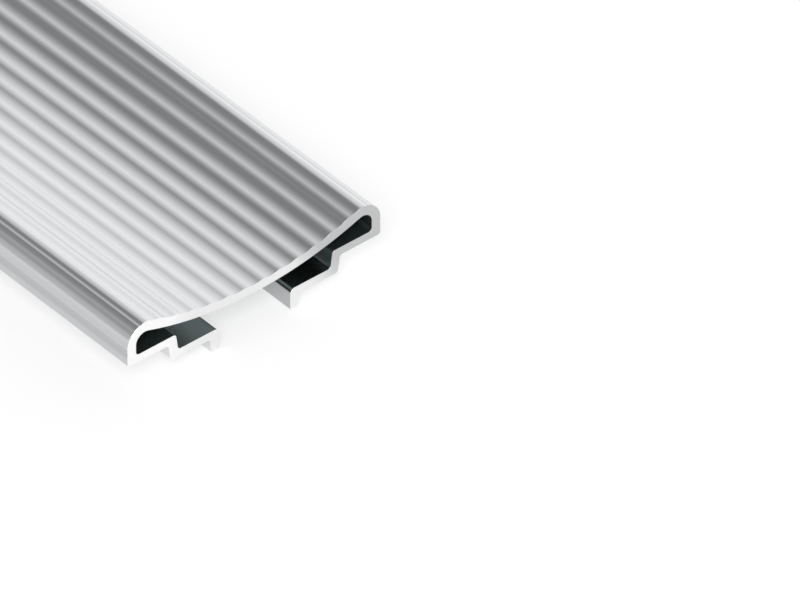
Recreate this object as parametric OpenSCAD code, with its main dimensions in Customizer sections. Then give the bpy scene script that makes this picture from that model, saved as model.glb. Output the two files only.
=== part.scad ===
// Aluminium rail profile, cut from extruded stock.
// A dished and fluted face with rounded shoulders, two side walls, and behind the face a clamp channel
// between two stepped flanges whose lips point down.
// X runs across the face, Y along the stock and Z up from the lips. All sizes are in millimetres.

/* [Stock] */
// Length of the cut piece
length = 1000; // [250:50:3000]
// Width over the two side walls
width = 100; // [94:0.5:106]
// Height from the lips to the crests beside the shoulders
height = 25.5; // [25:0.25:27]

/* [Fluted face] */
// Radius of the hollow on which the crests between the flutes lie
dish_radius = 115; // [110:1:125]
// Number of flutes on each side of the middle one
side_flutes = 6; // [5:1:8]
// Distance across the face from the outermost flute to the crest at the shoulder
edge_flute_inset = 2.4; // [1.8:0.1:3.4]
// Radius of the bottom of a flute
flute_radius = 9; // [8:0.5:11]
// Radius of the crest between two flutes
crest_radius = 6; // [5:0.5:8]
// Thickness of the face from a crest of the middle to the underside
face_thickness = 3.4; // [2.8:0.1:3.8]

/* [Side walls] */
// Thickness of the side walls
wall_thickness = 3.4; // [2.8:0.1:3.8]
// Radius of the shoulder between the face and a side wall
shoulder_radius = 7.5; // [7:0.1:8]
// Radius of the crest that ends the fluted face at the shoulder
edge_crest_radius = 2.8; // [2:0.1:4]
// Radius of the hollow at the top of a side wall's inner face
pocket_radius = 3.6; // [2.5:0.1:4]
// Height of that hollow's top above the lips
pocket_height = 21.8; // [21.2:0.1:22]
// Height of the side walls' lower edge above the lips
wall_foot_height = 11.4; // [10.8:0.1:11.6]
// Radius of the side walls' lower edge
wall_foot_radius = 1; // [0.5:0.1:1.4]

/* [Stepped flanges] */
// Thickness of the upper flanges, next to the side walls
upper_flange_thickness = 2.9; // [2.4:0.1:3]
// Thickness of the lower flanges, next to the slot
lower_flange_thickness = 3; // [2.4:0.1:3.2]
// Height of the lower flanges' underside above the lips
lower_flange_height = 5.1; // [4.4:0.1:5.2]
// Width of the channel between the two steps, at the lower flanges
channel_width = 60.2; // [52:0.2:61]
// Thickness of the steps between the upper and the lower flanges
step_thickness = 3.3; // [2.5:0.1:3.5]
// Lean of the steps from the vertical, in degrees
step_lean = 8; // [0:0.5:10]
// Radius of the outer corner under a step
step_radius = 1.4; // [0.5:0.1:2]

/* [Lips] */
// Width of the slot between the two lips
slot_width = 28.2; // [24:0.2:32]
// Thickness of the lips
lip_thickness = 3.3; // [2.8:0.1:4]
// Radius of the bend from a lower flange into its lip
lip_bend_radius = 1.8; // [0.8:0.1:2]
// Radius of the lips' lower corners
lip_radius = 0.8; // [0.2:0.1:1]

/* [Corners] */
// Radius of the flanges' other corners
corner_radius = 1.2; // [0.4:0.1:1.3]
// Widest gap between a curve and the straight strips that stand for it
curve_gap = 0.01; // [0.005:0.005:0.05]

/* [Hidden] */

// The crests of the face, and the flutes between them, are arcs spread evenly about one dish centre
shoulder_x = width / 2 - shoulder_radius;
last_flute_angle = asin((shoulder_x - edge_flute_inset) / dish_radius);
flute_angle = last_flute_angle / side_flutes;
crest_orbit = dish_radius + crest_radius;
crest_reach = [sin(flute_angle / 2), cos(flute_angle / 2)] * crest_orbit;
flute_orbit = crest_reach.y - sqrt(pow(flute_radius + crest_radius, 2) - pow(crest_reach.x, 2));
flute_sweep = atan2(crest_reach.x, crest_reach.y - flute_orbit);
crest_sweep = flute_sweep - flute_angle / 2;

// The outermost flute runs tangentially into the edge crest, which sets the height of the dish
shoulder_centre = [shoulder_x, height - shoulder_radius];
edge_crest_centre = [shoulder_x, height - edge_crest_radius];
last_flute_offset = [sin(last_flute_angle), -cos(last_flute_angle)] * flute_orbit;
edge_run = edge_crest_centre.x - last_flute_offset.x;
edge_rise = sqrt(pow(flute_radius + edge_crest_radius, 2) - pow(edge_run, 2));
dish_height = edge_crest_centre.y + edge_rise - last_flute_offset.y;
edge_turn = atan2(-edge_rise, edge_run);

// The underside of the face is one arc that is tangent to the hollows over both side walls
wall_inner_x = width / 2 - wall_thickness;
pocket_centre = [wall_inner_x - pocket_radius, pocket_height - pocket_radius];
underside_height = dish_height - dish_radius - face_thickness;
underside_drop = pocket_centre.y - underside_height;
underside_radius = (pow(pocket_centre.x, 2) + pow(underside_drop, 2) - pow(pocket_radius, 2))
    / (2 * (pocket_radius + underside_drop));
underside_centre = [0, underside_height + underside_radius];
underside_turn = atan2(pocket_centre.x, underside_centre.y - pocket_centre.y);

// Places of the flanges, steps and lips on one side
upper_flange_top = wall_foot_height + upper_flange_thickness;
lower_flange_top = lower_flange_height + lower_flange_thickness;
slot_x = slot_width / 2;
lip_outer_x = slot_x + lip_thickness;
step_x = channel_width / 2;
step_width = step_thickness / cos(step_lean);
profile_colour = [0.80, 0.81, 0.82];

// Horizontal place of a step's inner face at a given level
function step_face_x(level) = step_x + (level - lower_flange_top) * tan(step_lean);

// Centre of an arc that lies on a circle about the dish centre
function on_dish(orbit, angle) = [orbit * sin(angle), dish_height - orbit * cos(angle)];

// Number of straight strips that keep an arc within the widest gap
function arc_strips(radius, sweep) = max(2, ceil(abs(sweep) / (2 * acos(1 - curve_gap / radius))));

// Points of an arc, without its first point unless that is asked for
function arc(centre, radius, from, to, with_first = false) =
    let (strips = arc_strips(radius, to - from))
    [for (i = [with_first ? 0 : 1 : strips])
        let (angle = from + (to - from) * i / strips)
        centre + radius * [cos(angle), sin(angle)]];

// Direction from one point to another as a vector of length one
function heading(from, to) = (to - from) / norm(to - from);

// Angle of a vector, in degrees
function bearing(vector) = atan2(vector.y, vector.x);

// Points of one corner of a path, rounded to the radius that follows the corner's place
function rounded_corner(before, corner, after) =
    let (
        tip = corner[0],
        radius = corner[1],
        back = heading(tip, before),
        ahead = heading(tip, after),
        half_angle = acos(back * ahead) / 2,
        centre = tip + heading([0, 0], back + ahead) * radius / sin(half_angle),
        setback = radius / tan(half_angle),
        start = bearing(tip + back * setback - centre),
        turn = bearing(tip + ahead * setback - centre) - start,
        short_turn = turn > 180 ? turn - 360 : turn < -180 ? turn + 360 : turn
    )
    arc(centre, radius, start, start + short_turn, with_first = true);

// Points of the rounded corners between two end points of a path
function rounded_path(first, corners, last) =
    [for (i = [0 : len(corners) - 1])
        let (
            before = i == 0 ? first : corners[i - 1][0],
            after = i == len(corners) - 1 ? last : corners[i + 1][0]
        )
        each rounded_corner(before, corners[i], after)];

// Fluted top of the face from the middle flute out to the last one, then that side's edge crest and shoulder
function fluted_top() = concat(
    [on_dish(flute_orbit + flute_radius, 0)],
    arc(on_dish(flute_orbit, 0), flute_radius, -90, flute_sweep - 90),
    [for (i = [1 : side_flutes])
        let (
            angle = i * flute_angle,
            crest_angle = angle - flute_angle / 2,
            flute_end = i < side_flutes ? angle + flute_sweep - 90 : edge_turn
        )
        each concat(
            arc(on_dish(crest_orbit, crest_angle), crest_radius,
                90 + crest_angle + crest_sweep, 90 + crest_angle - crest_sweep),
            arc(on_dish(flute_orbit, angle), flute_radius, angle - flute_sweep - 90, flute_end)
        )],
    arc(edge_crest_centre, edge_crest_radius, edge_turn + 180, 90),
    arc(shoulder_centre, shoulder_radius, 90, 0)
);

// Side wall, stepped flange and lip of one side, round to the wall's inner face
function stepped_side() = rounded_path(
    [width / 2, shoulder_centre.y],
    [
        [[width / 2, wall_foot_height], wall_foot_radius],
        [[step_face_x(wall_foot_height) + step_width, wall_foot_height], corner_radius],
        [[step_face_x(lower_flange_height) + step_width, lower_flange_height], step_radius],
        [[lip_outer_x, lower_flange_height], corner_radius],
        [[lip_outer_x, 0], lip_radius],
        [[slot_x, 0], lip_radius],
        [[slot_x, lower_flange_top], lip_bend_radius],
        [[step_face_x(lower_flange_top), lower_flange_top], corner_radius],
        [[step_face_x(upper_flange_top), upper_flange_top], corner_radius],
        [[wall_inner_x, upper_flange_top], corner_radius]
    ],
    [wall_inner_x, pocket_centre.y]
);

// Hollow over one side wall and the underside of the face, back to the middle
function smooth_underside() = concat(
    arc(pocket_centre, pocket_radius, 0, 90 + underside_turn, with_first = true),
    arc(underside_centre, underside_radius, underside_turn - 90, -90)
);

// Section of the profile: one side's outline and its mirror image, joined at the middle
module section() {
    side = concat(fluted_top(), stepped_side(), smooth_underside());
    other_side = [for (i = [len(side) - 2 : -1 : 1]) [-side[i].x, side[i].y]];
    polygon(concat(side, other_side));
}

// The cut length of stock, lying on its lips
module extruded_profile() {
    color(profile_colour)
        rotate([90, 0, 0])
            linear_extrude(length, center = true)
                section();
}

extruded_profile();
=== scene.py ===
import math

import bmesh
import bpy
from bpy.props import FloatProperty, FloatVectorProperty, IntProperty, PointerProperty
from mathutils import Matrix, Vector


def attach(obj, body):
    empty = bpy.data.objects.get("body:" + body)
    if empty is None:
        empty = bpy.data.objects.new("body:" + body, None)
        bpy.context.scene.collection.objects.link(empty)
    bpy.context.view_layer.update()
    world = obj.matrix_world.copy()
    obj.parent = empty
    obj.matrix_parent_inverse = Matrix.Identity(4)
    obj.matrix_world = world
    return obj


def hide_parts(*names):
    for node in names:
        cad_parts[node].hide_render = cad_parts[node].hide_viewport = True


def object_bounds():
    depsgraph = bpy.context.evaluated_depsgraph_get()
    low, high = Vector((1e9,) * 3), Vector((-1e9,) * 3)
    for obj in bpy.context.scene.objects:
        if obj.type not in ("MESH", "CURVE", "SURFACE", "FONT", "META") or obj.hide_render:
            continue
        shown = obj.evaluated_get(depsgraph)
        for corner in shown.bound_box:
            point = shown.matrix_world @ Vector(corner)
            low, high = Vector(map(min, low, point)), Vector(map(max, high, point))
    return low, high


bl_info = {
    "name": "Fluted rail stock",
    "version": (1, 0, 0),
    "blender": (4, 5, 0),
    "location": "View3D > Sidebar > Rail",
    "description": "Builds a cut length of fluted aluminium rail profile and the studio stage around it",
    "category": "Object",
}

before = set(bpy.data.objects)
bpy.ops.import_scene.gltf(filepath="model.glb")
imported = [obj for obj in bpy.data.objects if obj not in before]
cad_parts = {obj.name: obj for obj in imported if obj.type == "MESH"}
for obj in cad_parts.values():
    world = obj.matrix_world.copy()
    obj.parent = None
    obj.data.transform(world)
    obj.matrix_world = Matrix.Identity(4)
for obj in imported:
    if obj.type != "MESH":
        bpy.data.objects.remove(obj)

# The solid's box, from which the rail takes its overall size
CAD_LOW, CAD_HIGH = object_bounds()
CAD_SIZE = CAD_HIGH - CAD_LOW

NODE = "extruded_profile"
BODY = "root"
IMAGE_WIDTH = 800
IMAGE_HEIGHT = 600

# Finest strip of a curve: by the angle that it turns, and by its width
CURVE_ANGLE = math.radians(2.0)
CURVE_CHORD = 0.00015

# Strips of a side wall, narrow enough to press a line into it, and the turn from which an edge is sharp
WALL_STRIPS = 40
SHARP_EDGE = math.radians(30.0)

# Where the painted shade on the side walls and in the slot ends, and how far the darker streak on a wall
# reaches
WALL_BLEND = 0.0015
SLOT_BLEND = 0.0008
SLOT_FADE = 0.002
STREAK_REACH = 0.0022

# Left part of the face with a painted highlight and a rougher finish: its outer edge, and where it fades out
ROUGH_PAINTED_HIGHLIGHT_EDGE = (-0.0432, -0.0420)
ROUGH_PAINTED_HIGHLIGHT_FADE = (-0.030, -0.010)

# Extruded skin: how the die draws its lines out, and how fine the lines and the oxide's clouds are
DIE_DRAW = (1.0, 0.004, 1.0)
FINE_LINES = 1900.0
BROAD_LINES = 420.0
OXIDE_CLOUDS = 22.0

# Shares of those three in the skin's tone, and the tones between which it turns from dark to light
FINE_SHARE = 0.5
BROAD_SHARE = 0.2
CLOUD_SHARE = 0.3
TONE_SPREAD = (0.25, 0.75)

# Share of the light colour in the skin, and what changes it: painted shade on the side walls and in the
# slot, a darker streak along a wall, and a painted highlight on the left of the face
BASE_LIGHTNESS = 0.77
LINE_CONTRAST = 0.14
WALL_PAINTED_SHADE = 0.48
STREAK_DARKENING = 0.32
SLOT_PAINTED_SHADE = 0.9
PAINTED_HIGHLIGHT_GAIN = 0.15

# What the lines and clouds change in the skin's roughness, and the relief of the lines
LINE_SHINE = 0.04
CLOUD_SHINE = 0.06
LINE_RELIEF = 0.02
RELIEF_DEPTH = 0.0001

# Sawn end: the round blade's middle and plane, how fine its furrows and the grain are, and their shares
BLADE_CENTRE = (-0.06, 0.0, 0.19)
BLADE_PLANE = (1.0, 0.0, 1.0)
SAW_FURROWS = 2600.0
SAW_GRAIN = 900.0
FURROW_SHARE = 0.7
GRAIN_SHARE = 0.3

# Where painted shade darkens the sawn end: past the left wall, and then along a slant towards the right one
PAST_WALL_SHADE_EDGE = (-0.036, -0.024)
UPPER_RIGHT_SHADE_EDGE = (0.025, 0.043)
UPPER_RIGHT_SHADE_SLANT = 0.8
PAST_WALL_PAINTED_SHADE = 0.25
UPPER_RIGHT_PAINTED_SHADE = 0.7
FURROW_DULLING = 0.16
GRAIN_SHINE = 0.14
FURROW_RELIEF = 0.15

# Middle of a noise, which goes from 0 to 1
MEAN_NOISE = 0.5

# How squarely a direction faces the studio's bright sides where their light starts and where it is full
WINDOW_EDGE = (0.04, 0.75)
FRONT_EDGE = (0.2, 1.0)

# Order of the rail's materials
OUTSIDE_SKIN = 0
# The inside material is painted shade in the channel and pockets
SHADED_INSIDE = 1
SAWN_END = 2


# Settings that a user would change

def length_setting(name, description, default):
    """A length in metres, shown in the scene's unit."""
    return FloatProperty(
        name=name, description=description, default=default, min=0.0, unit="LENGTH", precision=5
    )


def angle_setting(name, description, degrees):
    """An angle, written in degrees and kept in radians."""
    return FloatProperty(name=name, description=description, default=math.radians(degrees), subtype="ANGLE")


def share_setting(name, description, default):
    """A share from 0 to 1."""
    return FloatProperty(
        name=name, description=description, default=default, min=0.0, max=1.0, subtype="FACTOR"
    )


def colour_setting(name, description, default):
    """A linear colour."""
    return FloatVectorProperty(
        name=name, description=description, default=default, min=0.0, max=1.0, size=3, subtype="COLOR"
    )


class RailSizes(bpy.types.PropertyGroup):
    """Sizes of the rail's section."""

    length: length_setting("Length", "Length of the cut piece", CAD_SIZE.y)
    width: length_setting("Width", "Width over the two side walls", CAD_SIZE.x)
    height: length_setting("Height", "Height from the lips to the crests beside the shoulders", CAD_SIZE.z)
    dish_radius: length_setting("Dish radius", "Radius of the hollow that the crests lie on", 0.115)
    side_flutes: IntProperty(
        name="Side flutes", description="Flutes on each side of the middle one", default=6, min=1, max=12
    )
    edge_flute_inset: length_setting("Edge flute inset", "From the last flute to the edge crest", 0.0024)
    flute_radius: length_setting("Flute radius", "Radius of the bottom of a flute", 0.009)
    crest_radius: length_setting("Crest radius", "Radius of the crest between two flutes", 0.006)
    face_thickness: length_setting("Face thickness", "From a middle crest to the underside", 0.0034)
    wall_thickness: length_setting("Wall thickness", "Thickness of the side walls", 0.0034)
    shoulder_radius: length_setting("Shoulder radius", "Round between the face and a side wall", 0.0075)
    edge_crest_radius: length_setting("Edge crest radius", "Crest that ends the fluted face", 0.0028)
    pocket_radius: length_setting("Pocket radius", "Hollow at the top of a wall's inner face", 0.0036)
    pocket_height: length_setting("Pocket height", "Height of that hollow's top", 0.0218)
    wall_foot_height: length_setting("Wall foot", "Height of the side walls' lower edge", 0.0114)
    wall_foot_radius: length_setting("Wall foot radius", "Round of the side walls' lower edge", 0.001)
    upper_flange: length_setting("Upper flange", "Thickness of the upper flanges", 0.0029)
    lower_flange: length_setting("Lower flange", "Thickness of the lower flanges", 0.003)
    lower_flange_height: length_setting("Lower flange height", "Height of its underside", 0.0051)
    channel_width: length_setting("Channel width", "Width between the steps", 0.0602)
    step_thickness: length_setting("Step thickness", "Thickness of the steps", 0.0033)
    step_lean: angle_setting("Step lean", "Lean of the steps from the vertical", 8.0)
    step_radius: length_setting("Step radius", "Round of the outer corner under a step", 0.0014)
    slot_width: length_setting("Slot width", "Width of the slot between the lips", 0.0282)
    lip_thickness: length_setting("Lip thickness", "Thickness of the lips", 0.0033)
    lip_bend_radius: length_setting("Lip bend radius", "Bend from a lower flange into its lip", 0.0018)
    lip_radius: length_setting("Lip radius", "Round of the lips' lower corners", 0.0008)
    corner_radius: length_setting("Corner radius", "Round of the flanges' other corners", 0.0012)
    shoulder_line_turn: angle_setting("Shoulder line turn", "Turn of the upper line from the crest", 16.8)
    shoulder_line_width: length_setting("Shoulder line width", "Width of the lines on a shoulder", 0.0022)
    shoulder_line_depth: length_setting("Shoulder line depth", "Depth of the upper line", 0.0002)
    lower_line_turn: angle_setting("Lower line turn", "Turn of the lower line from the crest", 43.0)
    lower_line_depth: length_setting("Lower line depth", "Depth of the lower line", 0.00009)
    wall_line_height: length_setting("Wall line height", "Height of the fine line on a side wall", 0.0162)
    wall_line_width: length_setting("Wall line width", "Width of the fine line on a side wall", 0.0012)
    wall_line_depth: length_setting("Wall line depth", "Depth of the fine line on a side wall", 0.0001)
    edge_break: length_setting("Edge break", "Bevel left on the sawn edges", 0.00007)
    strips_along: IntProperty(
        name="Strips along", description="Strips of the surface along its length", default=20, min=1, max=100
    )


class RailLooks(bpy.types.PropertyGroup):
    """Colours and finishes of the rail."""

    skin_light: colour_setting("Skin, light", "Bare extruded surface", (0.75, 0.757, 0.768))
    # The skin's dark colour serves the die lines and, on the walls and in the slot, painted shade
    skin_dark: colour_setting("Skin, dark", "Die lines and streaks", (0.47, 0.477, 0.487))
    skin_roughness: share_setting("Skin roughness", "Roughness of the extruded surface", 0.19)
    worn_roughness: share_setting("Worn roughness", "What a worn die adds on the left of the face", 0.09)
    # The inside colours are painted shade, a dark green-grey for the shade in the channel and pockets
    shaded_inside_light: colour_setting("Inside, light", "Skin of channel and pockets", (0.228, 0.278, 0.274))
    shaded_inside_dark: colour_setting("Inside, dark", "Oxide in channel and pockets", (0.14, 0.186, 0.182))
    inside_roughness: share_setting("Inside roughness", "Roughness of the inner skin", 0.38)
    # The sawn end's dull colour is painted shade, past the left wall and towards the upper right
    sawn_light: colour_setting("Sawn end, light", "Metal where the saw went in", (0.95, 0.95, 0.95))
    sawn_painted_shade: colour_setting("Sawn end, dull", "Metal where the saw came out", (0.53, 0.535, 0.54))
    sawn_roughness: share_setting("Sawn roughness", "Roughness of the sawn ends", 0.45)


class StageLooks(bpy.types.PropertyGroup):
    """Floor, light and camera of the studio."""

    floor_colour: colour_setting("Floor", "Colour of the floor", (0.93, 0.93, 0.93))
    floor_reach: length_setting("Floor reach", "Half the side of the floor", 30.0)
    floor_glow: share_setting("Floor glow", "Share of the floor that the camera sees as plain white", 0.6)
    key_strength: FloatProperty(name="Key light", description="Strength of the lamp", default=2.3)
    key_tilt: angle_setting("Key tilt", "Angle at which the lamp shines down", 42.0)
    key_spread: angle_setting("Key spread", "Angle over which the lamp spreads", 28.0)
    horizon: share_setting("Horizon", "Brightness of the surroundings at eye level", 0.70)
    horizon_fall: FloatProperty(name="Horizon fall", description="Power of its fall upwards", default=0.62)
    window_gain: share_setting("Window gain", "What the bright side of the studio adds", 0.52)
    window_turn: angle_setting("Window turn", "Turn of the bright side about the vertical", 97.0)
    window_rise: angle_setting("Window rise", "Height of the bright side's middle", 18.4)
    front_gain: share_setting("Front gain", "What the side of the camera adds", 0.5)
    camera_turn: angle_setting("Camera turn", "Turn of the view about the vertical", -40.3)
    camera_tilt: angle_setting("Camera tilt", "Angle at which the camera looks down", 39.0)
    camera_lens: FloatProperty(
        name="Lens", description="Focal length of the camera", default=855.0, subtype="DISTANCE_CAMERA"
    )
    pixels_per_metre: FloatProperty(
        name="Scale", description="Pixels of the picture to a metre at the near end", default=3312.0
    )
    foot_pixel: FloatVectorProperty(
        name="Foot pixel", description="Place in the picture of the near left wall's foot", size=2,
        default=(127.7, 367.77)
    )


class RailSettings(bpy.types.PropertyGroup):
    """All settings of the rail and its stage."""

    sizes: PointerProperty(type=RailSizes)
    looks: PointerProperty(type=RailLooks)
    stage: PointerProperty(type=StageLooks)


# Outline of the section: arcs and rounded corners in the plane across the rail

def arc(centre, radius, start, end, with_first=False):
    """Points of an arc between two angles, without its first point unless that is asked for."""
    sweep = abs(end - start)
    strips = max(3, min(math.ceil(sweep / CURVE_ANGLE), math.ceil(sweep * radius / CURVE_CHORD)))
    points = []
    for i in range(0 if with_first else 1, strips + 1):
        angle = start + (end - start) * i / strips
        points.append(centre + radius * Vector((math.cos(angle), math.sin(angle))))
    return points


def rounded_corner(before, tip, radius, after):
    """Points of one corner of a path, rounded by an arc."""
    back = (before - tip).normalized()
    ahead = (after - tip).normalized()
    half_angle = back.angle(ahead) / 2
    centre = tip + (back + ahead).normalized() * radius / math.sin(half_angle)
    setback = radius / math.tan(half_angle)
    first = tip + back * setback - centre
    last = tip + ahead * setback - centre
    start = math.atan2(first.y, first.x)
    turn = math.remainder(math.atan2(last.y, last.x) - start, 2 * math.pi)
    return arc(centre, radius, start, start + turn, with_first=True)


def fluted_top(sizes):
    """Points of the face from the middle flute out to the side wall, and the height of the dish's centre."""
    quarter = math.pi / 2
    shoulder_x = sizes.width / 2 - sizes.shoulder_radius
    last_angle = math.asin((shoulder_x - sizes.edge_flute_inset) / sizes.dish_radius)
    flute_angle = last_angle / sizes.side_flutes
    crest_orbit = sizes.dish_radius + sizes.crest_radius
    reach = crest_orbit * Vector((math.sin(flute_angle / 2), math.cos(flute_angle / 2)))
    flute_orbit = reach.y - math.sqrt((sizes.flute_radius + sizes.crest_radius) ** 2 - reach.x ** 2)
    flute_sweep = math.atan2(reach.x, reach.y - flute_orbit)
    crest_sweep = flute_sweep - flute_angle / 2

    edge_centre = Vector((shoulder_x, sizes.height - sizes.edge_crest_radius))
    edge_run = edge_centre.x - flute_orbit * math.sin(last_angle)
    edge_rise = math.sqrt((sizes.flute_radius + sizes.edge_crest_radius) ** 2 - edge_run ** 2)
    dish_height = edge_centre.y + edge_rise + flute_orbit * math.cos(last_angle)
    edge_turn = math.atan2(-edge_rise, edge_run)

    def on_dish(orbit, angle):
        return Vector((orbit * math.sin(angle), dish_height - orbit * math.cos(angle)))

    points = [on_dish(flute_orbit + sizes.flute_radius, 0)]
    points += arc(on_dish(flute_orbit, 0), sizes.flute_radius, -quarter, flute_sweep - quarter)
    for i in range(1, sizes.side_flutes + 1):
        angle = i * flute_angle
        crest_angle = angle - flute_angle / 2
        flute_end = angle + flute_sweep - quarter if i < sizes.side_flutes else edge_turn
        crest_top = quarter + crest_angle
        points += arc(
            on_dish(crest_orbit, crest_angle), sizes.crest_radius,
            crest_top + crest_sweep, crest_top - crest_sweep
        )
        points += arc(
            on_dish(flute_orbit, angle), sizes.flute_radius, angle - flute_sweep - quarter, flute_end
        )
    points += arc(edge_centre, sizes.edge_crest_radius, edge_turn + math.pi, quarter)
    points += arc(shoulder_centre(sizes), sizes.shoulder_radius, quarter, 0.0)
    return points, dish_height


def shoulder_centre(sizes):
    """Centre of the round between the face and the side wall."""
    return Vector((sizes.width / 2 - sizes.shoulder_radius, sizes.height - sizes.shoulder_radius))


def pocket_centre(sizes):
    """Centre of the hollow at the top of a side wall's inner face."""
    return Vector((
        sizes.width / 2 - sizes.wall_thickness - sizes.pocket_radius,
        sizes.pocket_height - sizes.pocket_radius,
    ))


def stepped_side(sizes):
    """Points of one side below its shoulder: those outside, round the lip to the step, and those inside."""
    wall_x = sizes.width / 2
    inner_x = wall_x - sizes.wall_thickness
    slot_x = sizes.slot_width / 2
    lip_x = slot_x + sizes.lip_thickness
    upper_top = sizes.wall_foot_height + sizes.upper_flange
    lower_top = sizes.lower_flange_height + sizes.lower_flange
    step_width = sizes.step_thickness / math.cos(sizes.step_lean)

    def step_x(level):
        return sizes.channel_width / 2 + (level - lower_top) * math.tan(sizes.step_lean)

    outer_corners = [
        (wall_x, sizes.wall_foot_height, sizes.wall_foot_radius),
        (step_x(sizes.wall_foot_height) + step_width, sizes.wall_foot_height, sizes.corner_radius),
        (step_x(sizes.lower_flange_height) + step_width, sizes.lower_flange_height, sizes.step_radius),
        (lip_x, sizes.lower_flange_height, sizes.corner_radius),
        (lip_x, 0.0, sizes.lip_radius),
        (slot_x, 0.0, sizes.lip_radius),
        (slot_x, lower_top, sizes.lip_bend_radius),
        (step_x(lower_top), lower_top, sizes.corner_radius),
    ]
    inner_corners = [
        (step_x(upper_top), upper_top, sizes.corner_radius),
        (inner_x, upper_top, sizes.corner_radius),
    ]
    wall_top = Vector((wall_x, shoulder_centre(sizes).y))
    corners = outer_corners + inner_corners
    tips = [wall_top, *(Vector(corner[:2]) for corner in corners), Vector((inner_x, pocket_centre(sizes).y))]
    rounds = [
        rounded_corner(tips[i - 1], tips[i], corner[2], tips[i + 1])
        for i, corner in enumerate(corners, start=1)
    ]
    wall_foot = rounds[0][0]
    outer = [wall_top.lerp(wall_foot, i / WALL_STRIPS) for i in range(1, WALL_STRIPS)]
    outer += sum(rounds[:len(outer_corners)], [])
    return outer, sum(rounds[len(outer_corners):], [])


def smooth_underside(sizes, dish_height):
    """Points of the hollow over one side wall and of the underside of the face, back to the middle."""
    quarter = math.pi / 2
    hollow = pocket_centre(sizes)
    lowest = dish_height - sizes.dish_radius - sizes.face_thickness
    drop = hollow.y - lowest
    radius = (hollow.x ** 2 + drop ** 2 - sizes.pocket_radius ** 2) / (2 * (sizes.pocket_radius + drop))
    centre = Vector((0.0, lowest + radius))
    turn = math.atan2(hollow.x, centre.y - hollow.y)
    points = arc(hollow, sizes.pocket_radius, 0.0, quarter + turn, with_first=True)
    return points + arc(centre, radius, turn - quarter, -quarter)


def scored(points, centre, width, depth):
    """Points of an outline with a shallow round line pressed into it; inwards is to the right of its run."""
    pressed = list(points)
    for before, i, after in zip(points, range(1, len(points)), points[2:]):
        distance = (points[i] - centre).length
        if distance < width / 2:
            run = (after - before).normalized()
            press = depth * math.cos(math.pi * distance / width) ** 2
            pressed[i] = points[i] + press * Vector((run.y, -run.x))
    return pressed


def section_outline(sizes):
    """Closed outline of the section, and the range of its strips that lie in the channel and the pockets."""
    top, dish_height = fluted_top(sizes)
    outer, inner = stepped_side(sizes)
    side = top + outer + inner + smooth_underside(sizes, dish_height)
    first_inner = len(top) + len(outer) - 1
    shoulder_lines = (
        (sizes.shoulder_line_turn, sizes.shoulder_line_depth),
        (sizes.lower_line_turn, sizes.lower_line_depth),
    )
    for turn, depth in shoulder_lines:
        middle = shoulder_centre(sizes) + sizes.shoulder_radius * Vector((math.sin(turn), math.cos(turn)))
        side = scored(side, middle, sizes.shoulder_line_width, depth)
    wall_line = Vector((sizes.width / 2, sizes.wall_line_height))
    side = scored(side, wall_line, sizes.wall_line_width, sizes.wall_line_depth)
    mirrored = [Vector((-point.x, point.y)) for point in reversed(side[1:-1])]
    outline = side + mirrored
    return outline, range(first_inner, len(outline) - first_inner)


def inset_outline(outline, distance):
    """The outline moved inwards; it runs clockwise, so inwards is to the right of its run."""
    inset = []
    for i, point in enumerate(outline):
        run = (outline[(i + 1) % len(outline)] - outline[i - 1]).normalized()
        inset.append(point + distance * Vector((run.y, -run.x)))
    return inset


def rail_mesh(sizes):
    """Mesh of the cut rail: its skin outside and inside, and two sawn ends with a small bevel round them."""
    outline, inner_strips = section_outline(sizes)
    inset = inset_outline(outline, sizes.edge_break)
    half = sizes.length / 2
    first = -half + sizes.edge_break
    span = 2 * (half - sizes.edge_break)
    stations = [(-half, inset)]
    stations += [(first + span * i / sizes.strips_along, outline) for i in range(sizes.strips_along + 1)]
    stations += [(half, inset)]
    shape = bmesh.new()
    rings = [[shape.verts.new((point.x, y, point.y)) for point in ring] for y, ring in stations]
    for row, (near, far) in enumerate(zip(rings, rings[1:])):
        bevel = row in (0, len(rings) - 2)
        for i in range(len(near)):
            j = (i + 1) % len(near)
            face = shape.faces.new((near[i], near[j], far[j], far[i]))
            face.material_index = SAWN_END if bevel else SHADED_INSIDE if i in inner_strips else OUTSIDE_SKIN
            face.smooth = True
    for ring in (rings[0][::-1], rings[-1]):
        shape.faces.new(ring).material_index = SAWN_END
    bmesh.ops.recalc_face_normals(shape, faces=shape.faces)
    mesh = bpy.data.meshes.new("rail_skin")
    shape.to_mesh(mesh)
    shape.free()
    mesh.set_sharp_from_angle(angle=SHARP_EDGE)
    return mesh


# Shader trees

class Wire:
    """A number in a shader tree; arithmetic on it adds Math nodes."""

    def __init__(self, sheet, socket):
        self.sheet = sheet
        self.socket = socket

    def maths(self, operation, left, right):
        """Result of one Math node."""
        node = self.sheet.node("ShaderNodeMath", {"operation": operation}, {0: left, 1: right})
        return self.sheet.wire(node, "Value")

    def __add__(self, other):
        return self.maths("ADD", self, other)

    def __radd__(self, other):
        return self.maths("ADD", other, self)

    def __sub__(self, other):
        return self.maths("SUBTRACT", self, other)

    def __rsub__(self, other):
        return self.maths("SUBTRACT", other, self)

    def __mul__(self, other):
        return self.maths("MULTIPLY", self, other)

    def __rmul__(self, other):
        return self.maths("MULTIPLY", other, self)

    def __pow__(self, other):
        return self.maths("POWER", self, other)

    def __rpow__(self, other):
        return self.maths("POWER", other, self)


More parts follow.
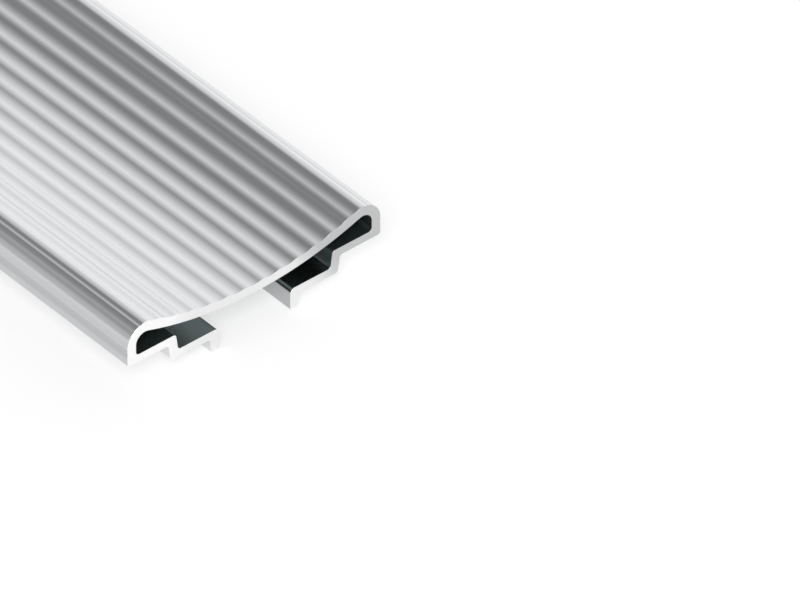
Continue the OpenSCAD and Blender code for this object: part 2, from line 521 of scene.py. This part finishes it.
class Sheet:
    """One shader tree, emptied; every node in it comes from the node method."""

    def __init__(self, owner):
        owner.use_nodes = True
        self.tree = owner.node_tree
        self.tree.nodes.clear()

    def node(self, kind, settings=None, sockets=None):
        """Adds a node, sets its settings first, then the values or links of its sockets."""
        made = self.tree.nodes.new(kind)
        for name, value in (settings or {}).items():
            setattr(made, name, value)
        for name, value in (sockets or {}).items():
            if isinstance(value, Wire):
                value = value.socket
            if isinstance(value, bpy.types.NodeSocket):
                self.tree.links.new(value, made.inputs[name])
            else:
                made.inputs[name].default_value = value
        return made

    def wire(self, node, output):
        """A number that a node gives."""
        return Wire(self, node.outputs[output])

    def mix_colour(self, share, first, second):
        """Colour between two colours."""
        node = self.node(
            "ShaderNodeMix", {"data_type": "RGBA"}, {0: share, 6: (*first, 1.0), 7: (*second, 1.0)}
        )
        return node.outputs[2]

    def smooth_step(self, value, low, high):
        """Number that rises smoothly from 0 at one value to 1 at another."""
        node = self.node(
            "ShaderNodeMapRange", {"interpolation_type": "SMOOTHSTEP"},
            {0: value, 1: low, 2: high, 3: 0.0, 4: 1.0}
        )
        return self.wire(node, "Result")

    def noise(self, vector, scale, detail=2.0, roughness=0.5):
        """Cloudy noise from 0 to 1."""
        node = self.node(
            "ShaderNodeTexNoise", None,
            {"Vector": vector, "Scale": scale, "Detail": detail, "Roughness": roughness}
        )
        return self.wire(node, "Fac")

    def stretched(self, vector, stretch):
        """A place, scaled along each axis."""
        node = self.node("ShaderNodeVectorMath", {"operation": "MULTIPLY"}, {0: vector, 1: stretch})
        return node.outputs["Vector"]

    def metal(self, colour, roughness, bump):
        """Bare metal surface and its output."""
        surface = self.node(
            "ShaderNodeBsdfPrincipled", None,
            {"Base Color": colour, "Roughness": roughness, "Metallic": 1.0, "Normal": bump}
        )
        self.node("ShaderNodeOutputMaterial", None, {"Surface": surface.outputs["BSDF"]})

    def bump(self, height, strength, distance):
        """Normal of a surface with a fine relief."""
        node = self.node(
            "ShaderNodeBump", None, {"Height": height, "Strength": strength, "Distance": distance}
        )
        return node.outputs["Normal"]


def shade_and_highlight_by_place(sheet, place, sizes):
    """Painted light at a place: painted shade on the side walls and in the slot, a darker streak along a
    wall, and a painted highlight on the left of the face; and the share of that left part, which also gets a
    rougher finish.
    """
    parts = sheet.node("ShaderNodeSeparateXYZ", None, {0: place})
    across = sheet.wire(parts, "X")
    height = sheet.wire(parts, "Z")
    off_middle = across * across
    off_streak = height - sizes.wall_line_height
    half = sizes.width / 2
    slot_side = sizes.slot_width / 2
    slot_top = sizes.lower_flange_height + sizes.lower_flange
    wall = sheet.smooth_step(off_middle, (half - WALL_BLEND) ** 2, half ** 2)
    streak = 1.0 - sheet.smooth_step(off_streak * off_streak, 0.0, STREAK_REACH ** 2)
    in_slot = 1.0 - sheet.smooth_step(off_middle, slot_side ** 2, (slot_side + SLOT_BLEND) ** 2)
    low_down = 1.0 - sheet.smooth_step(height, slot_top, slot_top + SLOT_FADE)
    # Left part of the face, with a painted highlight and a rougher finish
    rough_painted_highlight_side = sheet.smooth_step(across, *ROUGH_PAINTED_HIGHLIGHT_EDGE) * (1.0 - sheet.smooth_step(across, *ROUGH_PAINTED_HIGHLIGHT_FADE))
    # Painted shade on the side walls and in the slot, plus the darker streak along a wall
    darkening_with_painted_shade = wall * (WALL_PAINTED_SHADE + STREAK_DARKENING * streak) + SLOT_PAINTED_SHADE * in_slot * low_down
    return PAINTED_HIGHLIGHT_GAIN * rough_painted_highlight_side - darkening_with_painted_shade, rough_painted_highlight_side


def extruded_skin(name, sizes, light, dark, shine, worn):
    """Extruded aluminium: fine die lines, a faint cloudy oxide, painted shade on the side walls and in the
    slot, a darker streak along a wall, and a painted highlight with a rougher finish on the left of the
    face.
    """
    material = bpy.data.materials.new(name)
    sheet = Sheet(material)
    place = sheet.node("ShaderNodeTexCoord").outputs["Object"]
    drawn = sheet.stretched(place, DIE_DRAW)
    fine_lines = sheet.noise(drawn, FINE_LINES, detail=3.0, roughness=0.6)
    broad_lines = sheet.noise(drawn, BROAD_LINES)
    cloud = sheet.noise(place, OXIDE_CLOUDS, detail=3.0)
    tone = FINE_SHARE * fine_lines + BROAD_SHARE * broad_lines + CLOUD_SHARE * cloud
    painted_light, rough_painted_highlight_side = shade_and_highlight_by_place(sheet, place, sizes)
    # Painted light raises or lowers the share of the light colour
    lightness = BASE_LIGHTNESS + LINE_CONTRAST * sheet.smooth_step(tone, *TONE_SPREAD) + painted_light
    colour = sheet.mix_colour(lightness, dark, light)
    uneven = LINE_SHINE * (fine_lines - MEAN_NOISE) + CLOUD_SHINE * (cloud - MEAN_NOISE)
    roughness = shine + worn * rough_painted_highlight_side + uneven
    sheet.metal(colour, roughness, sheet.bump(fine_lines, LINE_RELIEF, RELIEF_DEPTH))
    return material


def sawn_end(looks):
    """Sawn aluminium: the arcs of a round blade, light at the left wall, with painted shade past it and more
    towards the upper right.
    """
    material = bpy.data.materials.new("sawn_end")
    sheet = Sheet(material)
    place = sheet.node("ShaderNodeTexCoord").outputs["Object"]
    from_blade = sheet.node(
        "ShaderNodeVectorMath", {"operation": "SUBTRACT"}, {0: place, 1: BLADE_CENTRE}
    )
    flat = sheet.stretched(from_blade.outputs["Vector"], BLADE_PLANE)
    radius = sheet.node("ShaderNodeVectorMath", {"operation": "LENGTH"}, {0: flat}).outputs["Value"]
    along = sheet.node("ShaderNodeCombineXYZ", None, {"X": radius}).outputs["Vector"]
    furrows = sheet.noise(along, SAW_FURROWS, roughness=0.6)
    grain = sheet.noise(place, SAW_GRAIN)
    tone = FURROW_SHARE * furrows + GRAIN_SHARE * grain
    parts = sheet.node("ShaderNodeSeparateXYZ", None, {0: place})
    across = sheet.wire(parts, "X")
    past_wall_shade = sheet.smooth_step(across, *PAST_WALL_SHADE_EDGE)
    upper_right_shade = sheet.smooth_step(across + UPPER_RIGHT_SHADE_SLANT * sheet.wire(parts, "Z"), *UPPER_RIGHT_SHADE_EDGE)
    # Painted shade past the left wall and towards the upper right, plus the furrows' own tone
    darkening_with_painted_shade = PAST_WALL_PAINTED_SHADE * past_wall_shade + UPPER_RIGHT_PAINTED_SHADE * upper_right_shade + FURROW_DULLING * (tone - MEAN_NOISE)
    colour = sheet.mix_colour(darkening_with_painted_shade, looks.sawn_light, looks.sawn_painted_shade)
    roughness = looks.sawn_roughness + GRAIN_SHINE * (grain - MEAN_NOISE)
    sheet.metal(colour, roughness, sheet.bump(tone, FURROW_RELIEF, RELIEF_DEPTH))
    return material


# Stage

def plain_floor(stage):
    """A wide pale floor under the lips."""
    shape = bmesh.new()
    bmesh.ops.create_grid(shape, x_segments=1, y_segments=1, size=stage.floor_reach)
    mesh = bpy.data.meshes.new("floor")
    shape.to_mesh(mesh)
    shape.free()
    floor = bpy.data.objects.new("floor", mesh)
    floor.location.z = CAD_LOW.z
    material = bpy.data.materials.new("pale_floor")
    sheet = Sheet(material)
    surface = sheet.node("ShaderNodeBsdfDiffuse", None, {"Color": (*stage.floor_colour, 1.0)})
    glow = sheet.node("ShaderNodeEmission", None, {"Color": (1.0, 1.0, 1.0, 1.0), "Strength": 1.0})
    path = sheet.node("ShaderNodeLightPath")
    seen = sum(sheet.wire(path, ray) for ray in ("Is Camera Ray", "Is Glossy Ray", "Is Transmission Ray"))
    mixed = sheet.node(
        "ShaderNodeMixShader", None,
        {0: stage.floor_glow * seen, 1: surface.outputs["BSDF"], 2: glow.outputs["Emission"]}
    )
    sheet.node("ShaderNodeOutputMaterial", None, {"Surface": mixed.outputs["Shader"]})
    mesh.materials.append(material)
    bpy.context.scene.collection.objects.link(floor)


def studio_surroundings(stage):
    """Soft surroundings: dark above, lighter at eye level, brightest on one side and behind the camera."""
    world = bpy.data.worlds.new("studio")
    bpy.context.scene.world = world
    sheet = Sheet(world)
    towards = sheet.node("ShaderNodeTexCoord").outputs["Generated"]
    height = sheet.wire(sheet.node("ShaderNodeSeparateXYZ", None, {0: towards}), "Z")

    def facing(side):
        node = sheet.node("ShaderNodeVectorMath", {"operation": "DOT_PRODUCT"}, {0: towards, 1: side})
        return sheet.wire(node, "Value")

    window = (
        math.sin(stage.window_turn) * math.cos(stage.window_rise),
        math.cos(stage.window_turn) * math.cos(stage.window_rise),
        math.sin(stage.window_rise),
    )
    front = (math.sin(stage.camera_turn), -math.cos(stage.camera_turn), 0.0)
    level = stage.horizon * (1.0 - height) ** stage.horizon_fall
    level = level + stage.window_gain * sheet.smooth_step(facing(window), *WINDOW_EDGE)
    level = level + stage.front_gain * sheet.smooth_step(facing(front), *FRONT_EDGE)
    background = sheet.node("ShaderNodeBackground", None, {"Color": (1.0, 1.0, 1.0, 1.0), "Strength": level})
    sheet.node("ShaderNodeOutputWorld", None, {"Surface": background.outputs["Background"]})


def view_axes(stage):
    """Right, up and forward of the camera."""
    turn = -stage.camera_turn
    level = Vector((math.sin(turn), math.cos(turn), 0.0))
    forward = level * math.cos(stage.camera_tilt) - Vector((0, 0, math.sin(stage.camera_tilt)))
    right = level.cross(Vector((0, 0, 1)))
    return right, right.cross(forward), forward


def key_light(stage):
    """A broad soft lamp above and behind the camera, so that the rail hides its own shadow."""
    lamp = bpy.data.lights.new("key_light", "SUN")
    lamp.energy = stage.key_strength
    lamp.angle = stage.key_spread
    light = bpy.data.objects.new("key_light", lamp)
    level = view_axes(stage)[2].copy()
    level.z = 0.0
    shine = level.normalized() * math.cos(stage.key_tilt) - Vector((0, 0, math.sin(stage.key_tilt)))
    light.rotation_mode = "QUATERNION"
    light.rotation_quaternion = shine.to_track_quat("-Z", "Y")
    bpy.context.scene.collection.objects.link(light)


def picture_camera(stage, sizes):
    """Camera at the picture's angle, with the near left wall's foot on its pixel."""
    right, up, forward = view_axes(stage)
    lens = bpy.data.cameras.new("camera")
    lens.lens = stage.camera_lens
    camera = bpy.data.objects.new("camera", lens)
    focal_pixels = stage.camera_lens / lens.sensor_width * IMAGE_WIDTH
    distance = focal_pixels / stage.pixels_per_metre
    foot = Vector((-sizes.width / 2, -sizes.length / 2, sizes.wall_foot_height))
    across = (stage.foot_pixel[0] - IMAGE_WIDTH / 2) / stage.pixels_per_metre
    above = (IMAGE_HEIGHT / 2 - stage.foot_pixel[1]) / stage.pixels_per_metre
    place = foot - across * right - above * up - distance * forward
    axes = Matrix((right, up, -forward)).transposed()
    camera.matrix_world = Matrix.Translation(place) @ axes.to_4x4()
    lens.clip_end = 2 * distance
    bpy.context.scene.collection.objects.link(camera)
    bpy.context.scene.camera = camera


# Operators and panel

class RAIL_OT_cut_length(bpy.types.Operator):
    """Build the cut length of fluted rail in place of its solid"""

    bl_idname = "rail.cut_length"
    bl_label = "Cut length of rail"

    def execute(self, context):
        sizes = context.scene.rail.sizes
        looks = context.scene.rail.looks
        mesh = rail_mesh(sizes)
        rail = bpy.data.objects.new("fluted_rail", mesh)
        mesh.materials.append(extruded_skin(
            "extruded_skin", sizes, looks.skin_light, looks.skin_dark,
            looks.skin_roughness, looks.worn_roughness
        ))
        # The channel and pockets: painted shade in a dark green-grey
        mesh.materials.append(extruded_skin(
            "inside_painted_shade", sizes, looks.shaded_inside_light, looks.shaded_inside_dark, looks.inside_roughness, 0.0
        ))
        mesh.materials.append(sawn_end(looks))
        context.scene.collection.objects.link(rail)
        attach(rail, BODY)
        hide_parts(NODE)
        return {"FINISHED"}


class RAIL_OT_studio_stage(bpy.types.Operator):
    """Set the floor, the light and the camera of the studio"""

    bl_idname = "rail.studio_stage"
    bl_label = "Studio stage"

    def execute(self, context):
        settings = context.scene.rail
        context.scene.view_settings.view_transform = "Standard"
        plain_floor(settings.stage)
        studio_surroundings(settings.stage)
        key_light(settings.stage)
        picture_camera(settings.stage, settings.sizes)
        return {"FINISHED"}


class RAIL_PT_sidebar(bpy.types.Panel):
    """Buttons of the rail and its stage"""

    bl_idname = "RAIL_PT_sidebar"
    bl_label = "Fluted rail stock"
    bl_space_type = "VIEW_3D"
    bl_region_type = "UI"
    bl_category = "Rail"

    def draw(self, context):
        layout = self.layout
        for operator in (RAIL_OT_cut_length, RAIL_OT_studio_stage):
            layout.operator(operator.bl_idname)
        settings = context.scene.rail
        for group in (settings.sizes, settings.looks, settings.stage):
            box = layout.box()
            for name in group.__annotations__:
                box.prop(group, name)


CLASSES = (
    RailSizes, RailLooks, StageLooks, RailSettings, RAIL_OT_cut_length, RAIL_OT_studio_stage, RAIL_PT_sidebar
)


def register():
    for cls in CLASSES:
        bpy.utils.register_class(cls)
    bpy.types.Scene.rail = PointerProperty(type=RailSettings)


def unregister():
    del bpy.types.Scene.rail
    for cls in reversed(CLASSES):
        bpy.utils.unregister_class(cls)


def main():
    register()
    bpy.ops.rail.cut_length()
    bpy.ops.rail.studio_stage()


if __name__ == "__main__":
    main()
